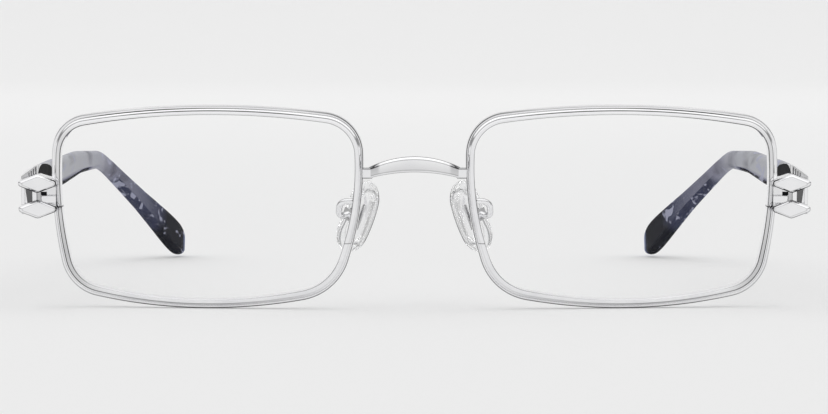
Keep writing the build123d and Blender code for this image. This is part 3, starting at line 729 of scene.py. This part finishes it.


# What shows between the studs, as (low corner, high corner, edge radius, darkness); the darkness is
# painted shade
openworkShape = {
    "blocks": (((68.72, 5.2, -0.7), (69.32, 6.3, 2.7), 0.12, 0.0),
               ((66.62, 5.0, -0.5), (67.42, 6.2, 2.3), 0.15, 0.0),
               ((65.88, 5.15, -0.5), (66.6, 6.2, 2.3), 0.15, 0.4),
               ((63.25, 5.1, -0.4), (65.86, 6.2, 1.0), 0.2, 0.0),
               ((63.25, 5.3, 1.06), (64.9, 6.2, 2.6), 0.15, 0.08),
               ((64.8, 5.4, 1.6), (65.9, 6.1, 2.6), 0.1, 0.1)),
    "recess": ((68.7, 2.5), (67.52, 2.5), (67.1, -0.6), (68.3, -0.6)), "recessRadius": 0.08,
    "recessDepths": (5.5, 5.56, 6.0), "recessDark": 0.86,
    "pocket": ((64.95, 5.35, 1.02), (65.86, 6.1, 1.58), 0.05),
}


def makeStuds():
    for level, height in studShape["heights"]:
        makePair(level.capitalize() + "Lozenge", [makeStud(level, height)], plating,
                 ["_%s_stud" % level])
    # Posts and blocks between the bars, some painted grey, a slanted hollow by the outer post
    # painted dark, and a black pocket: the grey and the dark are painted shade
    o = openworkShape
    metal = [onFront(roundBlock(*block), dark) for *block, dark in o["blocks"]]
    loop = roundedLoop(o["recess"], o["recessRadius"], 5)
    hollow = np.stack([np.insert(loop, 1, depth, axis=1) for depth in o["recessDepths"]])
    metal.append(onFront(hollow, o["recessDark"]))
    makePair("Openwork", metal, plating)
    makePair("Pocket", [onFront(roundBlock(*o["pocket"]))], shadeMatt)


makeStuds()
print("scene: studs made")


# Temples

templeShape = {
    "innerX": 66.95, "thick": 2.35, "startY": 24.5, "seamHeight": 5.0, "middle": 21.9,
    "crestY": 66.0, "crestRise": 1.6, "crestRadius": 110.0, "bendY": 97.0, "bendIn": 3.3,
    "bendDrop": 0.6, "bendRadius": 26.0, "tipIn": 13.9, "tipBack": 44.0, "paddle": 5.7,
    "tipRest": 0.1902, "full": 2.5, "corner": 0.46,
    # The tables start with the share of the path. Here: the height as a share of the seam's,
    # and the share of the way to the full thickness.
    "shape": ((0, 1, 0), (0.12, 0.86, 0.5), (0.25, 0.745, 0.9), (0.37, 0.66, 1), (0.49, 0.635, 1),
              (0.59, 0.63, 1), (0.68, 0.62, 1), (0.77, 0.65, 1), (0.85, 0.88, 1), (0.92, 1.12, 1)),
    "paddleFrom": 0.92, "easeOver": 0.03, "rows": 130, "endRows": 30, "endShort": 0.005,
    "easeReach": 10, "easeRows": 400, "endRound": (3.2, 5), "cornerPoints": 7,
    # What is added above and below
    "fuller": ((0, 0.35, 0), (0.03, 0.45, 0.1), (0.08, 0.55, 0.55), (0.18, 0.5, 0.8),
               (0.3, 0.5, 0.7), (0.42, 0.4, 0.4), (0.54, 0.25, 0.2), (0.61, 0.12, 0.1),
               (0.68, 0.6, 0.1), (0.76, 1.2, 0.1), (0.84, 1.55, 0.1), (0.92, 1.7, 0.1),
               (1, 1.9, 0)),
    # Darkness of the lower edge, below this level of the section, and then of the faces. The lower
    # edge's dark is partly the sheet's own edge and partly painted shade, eased at the bend, where
    # the edge catches light.
    "edgeLevel": (0.46, 0.62),
    "edgeDark": ((0, 0.84), (0.4, 0.84), (0.46, 0.2), (0.62, 0.3), (0.66, 0.74), (0.84, 0.75),
                 (0.88, 0.86), (1, 0.9)),
    # How far the sheet has darkened along the temple; at the very end it reaches the painted
    # highlight of the tip
    "drift": ((0, 0), (0.08, 0.06), (0.3, 0.12), (0.55, 0.27), (0.62, 0.45), (0.77, 0.62),
              (0.84, 0.73), (0.89, 0.83), (0.96, 0.9), (0.985, 1), (1, 1)),
}


def templeLine():
    t = templeShape
    x = t["innerX"] + t["thick"] / 2
    share = (t["crestY"] - t["startY"]) / (t["bendY"] - t["startY"])
    crest = t["middle"] + t["crestRise"]
    bendX = x - t["bendIn"]
    corners = [(x, t["startY"], t["middle"]), (x - t["bendIn"] * share, t["crestY"], crest),
               (bendX, t["bendY"], crest - t["bendDrop"]),
               (bendX - t["tipIn"], t["bendY"] + t["tipBack"], t["paddle"] * t["tipRest"])]
    return filletPath(corners, (t["crestRadius"], t["bendRadius"]))


def templeSections(points, length, share, height, thick, corner, raised):
    # Rounded upright sections square to the path, and each point's height in its section
    place, way = alongPath(points, length, share * length[-1])
    side = np.array([1.0, 0, 0]) - way * way[:, :1]
    side = side / np.linalg.norm(side, axis=1, keepdims=True)
    rise = np.cross(way, side)
    rise = rise * np.sign(rise[:, 2:3])
    half = np.stack([thick, height], axis=-1)[:, None, :] / 2
    corners = np.array([(-1, -1), (1, -1), (1, 1), (-1, 1)]) * half
    loops = roundedLoop(corners, corner[:, None], templeShape["cornerPoints"])
    loops = divided(loops, (0, 0.2, 0.4, 0.6, 0.8))
    lift = loops[..., 1:] + raised[:, None, None]
    grid = place[:, None, :] + loops[..., :1] * side[:, None, :] + lift * rise[:, None, :]
    return grid, loops[..., 1] / half[..., 1]


def makeSleeve():
    t = templeShape
    points, length = templeLine()
    share = np.linspace(0, t["paddleFrom"], t["rows"])
    # Table values, eased by a running mean so that no corner shows
    fine = np.linspace(-t["easeOver"], t["paddleFrom"] + t["easeOver"], t["easeRows"])
    reach = t["easeReach"]
    mean = np.full(2 * reach + 1, 1 / (2 * reach + 1))
    rough = [np.pad(tableAt(t["shape"], fine, column), reach, "edge") for column in (1, 2)]
    height, fullness = [np.interp(share, fine, np.convolve(values, mean, "valid"))
                        for values in rough]
    height = height * t["seamHeight"]
    thick = t["thick"] + (t["full"] - t["thick"]) * fullness
    # The end is rounded: end runs from 0 where it starts to 1 at its very tip
    end = np.sin(np.linspace(0, 1, t["endRows"])[1:-1] * math.pi / 2)
    endHeight = height[-1] + (t["paddle"] - height[-1]) * np.clip(end * 2, 0, 1)
    share = np.concatenate([share, t["paddleFrom"] + (1 - t["paddleFrom"]) * end])
    above, below = [tableAt(t["fuller"], share, column) for column in (1, 2)]
    height = np.concatenate([height, endHeight]) + above + below
    roundUp, roundAcross = t["endRound"]
    height[-len(end):] *= np.sqrt(1 - end ** roundUp)
    thick = np.concatenate([thick, t["full"] * np.sqrt(1 - end ** roundAcross)])
    share[-len(end):] -= t["endShort"] * end
    grid, level = templeSections(points, length, share, height, thick,
                                 np.minimum(height, thick) * t["corner"], (above - below) / 2)
    # The lower edge is darker than the faces: partly the sheet's own edge, partly painted shade
    lower = np.interp(-level, t["edgeLevel"], (0, 1)) * tableAt(t["edgeDark"], share)[:, None]
    drift = tableAt(t["drift"], share)[:, None]
    return surfaceOf(grid + partShift, np.maximum(drift, lower))


frontArm = {
    "backY": 8.62, "length": 16.0, "gap": 0.12, "corner": 0.14,
    # Rows of points: their spacing as far as ribEnd behind the last rib, and the number beyond
    "firstRow": 0.05, "spacing": 0.1, "ribEnd": 1.2, "farRows": 26,
    # Forward of the seam, underside, outer top edge, inner top edge
    "sections": ((0.0, 19.4, 24.6, 24.75), (3.5, 19.0, 24.5, 24.9), (7.5, 18.1, 24.35, 25.05),
                 (12.0, 17.0, 24.05, 25.15), (17.0, 16.2, 23.4, 25.2)),
    # The front edge is drawn in a little, and widens and drops outwards
    "pinch": ((0.0, 0.12), (0.05, 0.05), (0.12, 0.02), (0.22, 0.0)),
    "flare": 0.55, "flareLength": 4.0, "flareDrop": 0.5,
    # Short grooves down the inner face from its top edge
    "ribs": 4, "ribPitch": 1.3, "ribWidth": 0.55, "ribDepth": 0.3, "ribStart": 2.6, "ribReach": 2.4,
    "ribEase": 0.3, "ribSteep": 1.4,
    # Painted shade on the front end, and on the inner face beside the arch, which tones down their
    # bright reflections
    "endShade": ((0, 0.4), (0.4, 0.4), (0.6, 0)), "faceShade": ((0, 0.45), (3, 0.45), (5, 0)),
    # Middles across, low and high ends of the short cuts on the front end
    "cuts": ((67.15, 22.9, 24.75), (67.55, 22.9, 24.45), (67.95, 22.9, 24.1), (68.35, 22.9, 23.8)),
    "cutWidth": 0.2, "cutFrom": -0.02, "cutTo": 0.3, "cutRadius": 0.05, "cutDark": 0.9,
    "arch": (0.05, 22.0), "archTop": 0.02, "archFoot": 1.0, "archRise": 0.55, "archDepth": 0.07,
    "archWidth": 0.175, "archRadius": 0.05, "archRows": 60, "archBend": 3,
}

# The middle knuckle: place of its middle in the front's frame, barrel, rounding and web
knuckleShape = {"place": (65.6, 10.35, 0.9), "radius": 1.15, "half": 0.875, "bore": 0.5782,
                "edge": 0.1, "ease": 0.03, "webStart": 0.2, "webEnd": 0.3, "webInset": 0.02,
                "webRadius": 0.08}


def backPlane(height):
    # y of the leaning front's back plane, which falls as the height grows
    lean = math.radians(eyeShape["lean"])
    return frontArm["backY"] / math.cos(lean) - (height - eyeShape["height"]) * math.tan(lean)


def makePlate():
    a, t = frontArm, templeShape
    ribs = a["ribStart"] + np.arange(a["ribs"]) * a["ribPitch"]
    # Distances back from the front end: close together where the ribs are
    near = np.arange(a["gap"], ribs[-1] + a["ribEnd"], a["spacing"])
    far = np.linspace(ribs[-1] + a["ribEnd"] + a["spacing"], a["length"] - a["gap"],
                      a["farRows"])
    behind = np.concatenate([[0.0, a["firstRow"]], near, far])
    forward = np.maximum(a["length"] - behind, 0)
    low, outer, inner = [tableAt(a["sections"], forward, column) for column in (1, 2, 3)]
    flare = np.clip(1 - behind / a["flareLength"], 0, 1) ** 2
    pinch = tableAt(a["pinch"], behind)
    x0, low = t["innerX"] + pinch, low + pinch
    x1 = t["innerX"] + t["thick"] + a["flare"] * flare - pinch
    corners = ((x0, low), (x1, low), (x1, outer - a["flareDrop"] * flare - pinch),
               (x0, inner - pinch))
    loops = divided(roundedLoop(crossSections(corners), a["corner"], 6), np.arange(8) / 8)
    x, z = loops[..., 0], loops[..., 1]
    nearest = np.min(np.abs(behind[:, None] - ribs), axis=1) / (a["ribWidth"] / 2)
    groove = np.clip(a["ribSteep"] * (1 - nearest), 0, 1)[:, None]
    reach = np.clip((z - (inner[:, None] - a["ribReach"])) / a["ribEase"], 0, 1)
    onInner = np.clip(1 - (x - t["innerX"]) / a["ribEase"], 0, 1)
    x = x + groove * reach * onInner * a["ribDepth"]
    frontY = backPlane(z)
    y = frontY + (t["startY"] - frontY) * (behind[:, None] / behind[-1])
    # Painted shade near the front end, and on the inner face beside the arch
    plateShade = np.maximum(tableAt(a["endShade"], behind)[:, None],
                      onInner * tableAt(a["faceShade"], behind)[:, None])
    return surfaceOf(np.stack([x, y, z], axis=-1) + partShift, plateShade)


def makeKnuckle():
    # A turned barrel, and the web that joins it to the plate
    k, innerX = knuckleShape, templeShape["innerX"]
    x, y, z = k["place"]
    r, half, edge, ease = k["radius"], k["half"], k["edge"], k["ease"]
    rise = np.array([half, half, half - ease, half - edge])
    radii = np.array([k["bore"], r - edge, r - ease, r])
    barrel = turnedBody(np.append(radii, radii[::-1]), np.append(-rise, rise[::-1]))
    depth, height = r - k["webInset"], half - k["webInset"]
    web = roundBlock((x + k["webStart"], y - depth, z - height),
                     (innerX + k["webEnd"], y + depth, z + height), k["webRadius"], 3)
    return [onFront(barrel + np.array(k["place"])), onFront(web)]


def makeShadeArch():
    # A thin black arch on the inner face of the metal front and the acetate's root: painted shade
    # where that face lies in shade and mirrors dark
    a, t = frontArm, templeShape
    share = np.linspace(0, 1, a["archRows"])
    behind = a["arch"][0] + (a["arch"][1] - a["arch"][0]) * share
    top = tableAt(a["sections"], a["length"] - behind, 3) - a["archTop"]
    low = tableAt(a["sections"], a["length"] - behind, 1) + a["archFoot"]
    arch = np.sqrt(np.clip(1 - np.abs(2 * share - 1) ** a["archBend"], 0, 1))
    high = low + (top - low) * (1 - a["archRise"] + a["archRise"] * arch)
    y = backPlane(eyeShape["height"]) + behind
    # The acetate's inner face runs inwards behind the seam, and the arch follows it
    depth, taper = a["archDepth"], t["bendIn"] / (t["bendY"] - t["startY"])
    x0 = t["innerX"] - depth - taper * np.maximum(y - t["startY"], 0)
    x1 = x0 + a["archWidth"]
    corners = ((x0, low), (x1, low), (x1, high), (x0, high))
    loops = roundedLoop(crossSections(corners), a["archRadius"], 3)
    across = np.broadcast_to(y[:, None], loops.shape[:2])
    return surfaceOf(np.stack([loops[..., 0], across, loops[..., 1]], axis=-1) + partShift)


def makeCuts():
    # Short upright cuts on the front end of the arm, painted dark for the shade inside them
    a, cuts = frontArm, []
    for middle, low, high in a["cuts"]:
        half = a["cutWidth"] / 2
        block = roundBlock((middle - half, a["cutFrom"], low), (middle + half, a["cutTo"], high),
                           a["cutRadius"], 3)
        block[..., 1] += backPlane(block[..., 2])
        cuts.append(surfaceOf(block + partShift, a["cutDark"]))
    return cuts


def makeTemples():
    arm = [makePlate()] + makeKnuckle() + makeCuts()
    makePair("AcetateTemple", [makeSleeve()], acetate,
             ["_temple_sleeve", "_temple_core"], "_temple")
    makePair("TempleFront", arm, plating, ["_temple_front"], "_temple")
    # The black arch is painted shade
    makePair("ShadeArch", [makeShadeArch()], shadeMatt, body="_temple")


makeTemples()
print("scene: temples made")


# Nose pads and their arms

padShape = {
    "middle": (9.8, 9.4, -3.4), "lean": 21.0, "splay": 40.0, "length": 13.4, "top": 3.3, "low": 3.5,
    "thick": 2.3, "crown": 22.0, "edge": 0.62, "points": 120, "finePoints": 721,
    # First and last share of the outline, and number of rings between them
    "faceRings": ((0.06, 0.66, 7), (0.7, 0.97, 13)), "backRings": (0.9, 0.08, 6), "edgeRings": 7,
    # A valley runs round the face, with a line of painted shade beside it: darkness, place and
    # width. The rim and back lines are painted shade along the pad's edges.
    "valley": (0.16, 0.76, 0.06), "valleyShadeLine": (0.9, 0.84, 0.026),
    "rimLine": 1.0, "backLine": 0.5, "lineTurn": (1.0, 1.5),
    # Low and high corner of the lug on the back and of the metal core inside
    "lug": ((0.69, -0.65, -0.6), (2.53, 0.65, 0.6)), "lugRadius": 0.18,
    "core": ((0.05, -0.95, -2.3), (0.55, -0.4, 2.5)), "coreRadius": 0.1,
    "coreDark": 0.7, "coreWave": (0.5, 9.0), "coreDarkest": 0.97,
}


def padToFront(points):
    # From the pad's own frame to the front's: splayed, leaned and set in place
    leaned = turned(turned(points, "z", -padShape["splay"]), "y", -padShape["lean"])
    return leaned + np.array(padShape["middle"])


def padOutline():
    # Hull of two circles: in each direction the further of the two circles' points, and
    # then even steps along the loop
    p = padShape
    angle = np.linspace(0, 2 * math.pi, p["finePoints"])
    way = np.stack([np.cos(angle), np.sin(angle)], axis=1)
    up, down = p["length"] / 2 - p["top"], p["low"] - p["length"] / 2
    higher = up * way[:, 1] + p["top"] > down * way[:, 1] + p["low"]
    loop = way * np.where(higher, p["top"], p["low"])[:, None]
    loop[:, 1] += np.where(higher, up, down)
    length = np.append(0, np.cumsum(np.linalg.norm(np.diff(loop, axis=0), axis=1)))
    even = np.linspace(0, length[-1], p["points"], endpoint=False)
    return np.stack([np.interp(even, length, column) for column in loop.T], axis=1)


def makePad():
    p = padShape
    outline, half, edge = padOutline(), p["thick"] / 2, p["edge"]
    size = np.array([p["low"], p["length"] / 2])

    def ring(share, drawnIn, back, dark=0.0, crowned=True):
        # A ring of the outline, drawn in by the same border all round, on the crowned face or
        # on the flat back, and set back from it
        plan = outline * (1 - drawnIn / size) * share
        if crowned:
            back = p["crown"] - half - np.sqrt(p["crown"] ** 2 - np.sum(plan ** 2, axis=1)) + back
        return np.column_stack([np.broadcast_to(back, len(plan)), plan]), dark

    depth, valleyAt, valleyWidth = p["valley"]
    # Painted shade beside the valley
    lineShade, lineShadeAt, lineShadeWidth = p["valleyShadeLine"]
    rings = [ring(share, edge, depth * math.exp(-((share - valleyAt) / valleyWidth) ** 2),
                  lineShade * math.exp(-((share - lineShadeAt) / lineShadeWidth) ** 2))
             for shares in p["faceRings"] for share in np.linspace(*shares)]
    lineFrom, lineTo = p["lineTurn"]
    turns = [(edge * (1 - math.sin(turn)), edge * (1 - math.cos(turn)), lineFrom < turn < lineTo)
             for turn in np.linspace(0, math.pi / 2, p["edgeRings"])]
    rings += [ring(1, drawnIn, back, p["rimLine"] * onLine) for drawnIn, back, onLine in turns]
    rings += [ring(1, drawnIn, half - back, p["backLine"] * onLine, False)
              for drawnIn, back, onLine in turns[::-1]]
    rings += [ring(share, edge, half, crowned=False) for share in np.linspace(*p["backRings"])]
    pad = padToFront(np.stack([points for points, _ in rings]))
    darks = np.array([dark for _, dark in rings])[:, None]
    return [onFront(pad, darks), onFront(padToFront(roundBlock(*p["lug"], p["lugRadius"], 4)))]


def makePadCore():
    # A flat metal core, painted dark in bands along its length for the dark and bright reflections
    # it shows
    low, high = np.array(padShape["core"])
    block = roundBlock(low, high, padShape["coreRadius"], 4)
    rise = (block[..., 2] - low[2]) / (high[2] - low[2])
    wave, pace = padShape["coreWave"]
    dark = padShape["coreDark"] + wave * np.cos(rise * pace)
    dark = np.clip(dark, 0, padShape["coreDarkest"])
    return onFront(padToFront(block), dark)


armShape = {
    "route": ((10.2, 1.7, 0.2), (10.35, 4.0, 0.25), (13.25, 5.0, -0.1), (13.4, 6.3, -3.0)),
    "padEnd": (2.825, 0.0, 0.0), "bends": (1.1, 1.75, 1.2), "wire": 0.55, "flankDark": 0.95,
    "flankSteep": 1.5, "rows": 90, "columns": 24,
}


def makePadArm():
    # A round wire along the route: circles square to the path, carried without twist
    route = np.vstack([armShape["route"], padToFront(np.array([armShape["padEnd"]]))])
    points, length = filletPath(route, armShape["bends"])
    place, way = alongPath(points, length, np.linspace(0, length[-1], armShape["rows"]))
    square = [np.cross(way[0], (0.0, 0.0, 1.0))]
    for step in way[1:]:
        carried = square[-1] - step * (square[-1] @ step)
        square.append(carried / np.linalg.norm(carried))
    square = np.array(square) / np.linalg.norm(square[0])
    angle = np.linspace(0, 2 * math.pi, armShape["columns"], endpoint=False)[:, None]
    around = (np.cos(angle) * square[:, None, :]
              + np.sin(angle) * np.cross(way, square)[:, None, :])
    # The flanks are painted darker than the front of the wire: painted shade for the dark edges a
    # round polished wire shows
    flank = np.clip(1 - np.abs(around[..., 1]) * armShape["flankSteep"], 0, 1)
    return onFront(place[:, None, :] + armShape["wire"] * around, armShape["flankDark"] * flank)


def makePads():
    makePair("NosePad", makePad(), softPlastic, ["_nose_pad"], "_pad")
    makePair("PadCore", [makePadCore()], plating, body="_pad")
    makePair("PadArm", [makePadArm()], plating, ["_pad_arm"])


makePads()
print("scene: nose pads made")


# The rest of the CAD nodes

for nodeName, node in nodes.items():
    isSteel = nodeName.endswith(("screw", "core"))
    for k in range(max(1, len(node.material_slots))):
        if not node.material_slots:
            node.data.materials.append(None)
        node.material_slots[k].link = "OBJECT"
        node.material_slots[k].material = steel if isSteel else plating
print("scene: small metal parts finished")


# Floor, light and camera

stageShape = {"near": -2.5, "flat": 3.2, "curve": 2.0, "top": 3.5, "half": 4.5,
              "flatRows": 30, "curveRows": 40, "columns": 12}


def makeSweep():
    # A pale sheet that runs back along the floor and curves up behind
    s = stageShape
    turn = np.linspace(0, math.pi / 2, s["curveRows"])
    floor = np.linspace(s["near"], s["flat"], s["flatRows"])
    y = np.concatenate([floor, s["flat"] + s["curve"] * np.sin(turn), [s["flat"] + s["curve"]]])
    z = np.concatenate([np.zeros_like(floor), s["curve"] * (1 - np.cos(turn)), [s["top"]]])
    x, y = np.meshgrid(np.linspace(-s["half"], s["half"], s["columns"]), y)
    grid = np.stack([x, y, np.broadcast_to(z[:, None], x.shape)], axis=-1)
    mesh = bpy.data.meshes.new("paperSweep")
    mesh.from_pydata(grid.reshape(-1, 3).tolist(), [], gridFaces(*x.shape, False).tolist())
    mesh.polygons.foreach_set("use_smooth", [True] * len(mesh.polygons))
    mesh.materials.append(paper)
    sweep = bpy.data.objects.new("paperSweep", mesh)
    bpy.context.scene.collection.objects.link(sweep)


makeSweep()

# A white room with a dark band at mid height, which edges the metal with thin dark lines
lightShape = {
    "room": 0.92,
    # Height in the room, from straight down (0) to straight up (1), and brightness there
    "bands": ((0.0, 0.9), (0.56, 1.0), (0.6, 0.3), (0.68, 0.3), (0.73, 1.0), (0.85, 1.15),
              (1.0, 1.15)),
    # Name, place, aim, size and power
    "lamps": (("overhead", (0.0, 0.1, 1.3), (0.0, 0.0, 0.0), 1.6, 1.0),
              ("wallWash", (0.0, 1.6, 2.6), (0.0, 5.2, 0.6), 2.0, 12.0)),
}


def makeLight():
    world = bpy.data.worlds.new("paleRoom")
    bpy.context.scene.world = world
    world.use_nodes = True
    tree = world.node_tree
    tree.nodes.clear()
    place = addNode(tree, "TexCoord")
    split = addNode(tree, "SeparateXYZ", links={"Vector": (place, "Generated")})
    level = addNode(tree, "MapRange", values={"From Min": -1.0, "From Max": 1.0},
                    links={"Value": (split, "Z")})
    bands = addNode(tree, "ValToRGB", links={"Fac": (level, "Result")},
                    stops=lightShape["bands"])
    shader = addNode(tree, "Background", values={"Strength": lightShape["room"]},
                     links={"Color": (bands, "Color")})
    addNode(tree, "OutputWorld", links={"Surface": (shader, "Background")})
    for name, stand, aim, size, power in lightShape["lamps"]:
        data = bpy.data.lights.new(name, "AREA")
        data.shape, data.size, data.energy = "SQUARE", size, power
        lamp = bpy.data.objects.new(name, data)
        lamp.location = stand
        lamp.rotation_mode = "QUATERNION"
        lamp.rotation_quaternion = (Vector(aim) - Vector(stand)).to_track_quat("-Z", "Y")
        bpy.context.scene.collection.objects.link(lamp)


makeLight()

cameraShape = {"place": (0.0, -0.60885, 0.04613), "pitch": 2.98, "focal": 134.3, "sensor": 36.0,
               "shiftX": -0.0007, "nearest": 0.01}
camera = bpy.data.objects.new("camera", bpy.data.cameras.new("camera"))
camera.data.lens, camera.data.sensor_width = cameraShape["focal"], cameraShape["sensor"]
camera.data.shift_x, camera.data.clip_start = cameraShape["shiftX"], cameraShape["nearest"]
camera.location = cameraShape["place"]
camera.rotation_euler = (math.radians(90 - cameraShape["pitch"]), 0, 0)
bpy.context.scene.collection.objects.link(camera)
bpy.context.scene.camera = camera
bpy.context.scene.view_settings.view_transform = "Standard"
print("scene: stage, light and camera set")
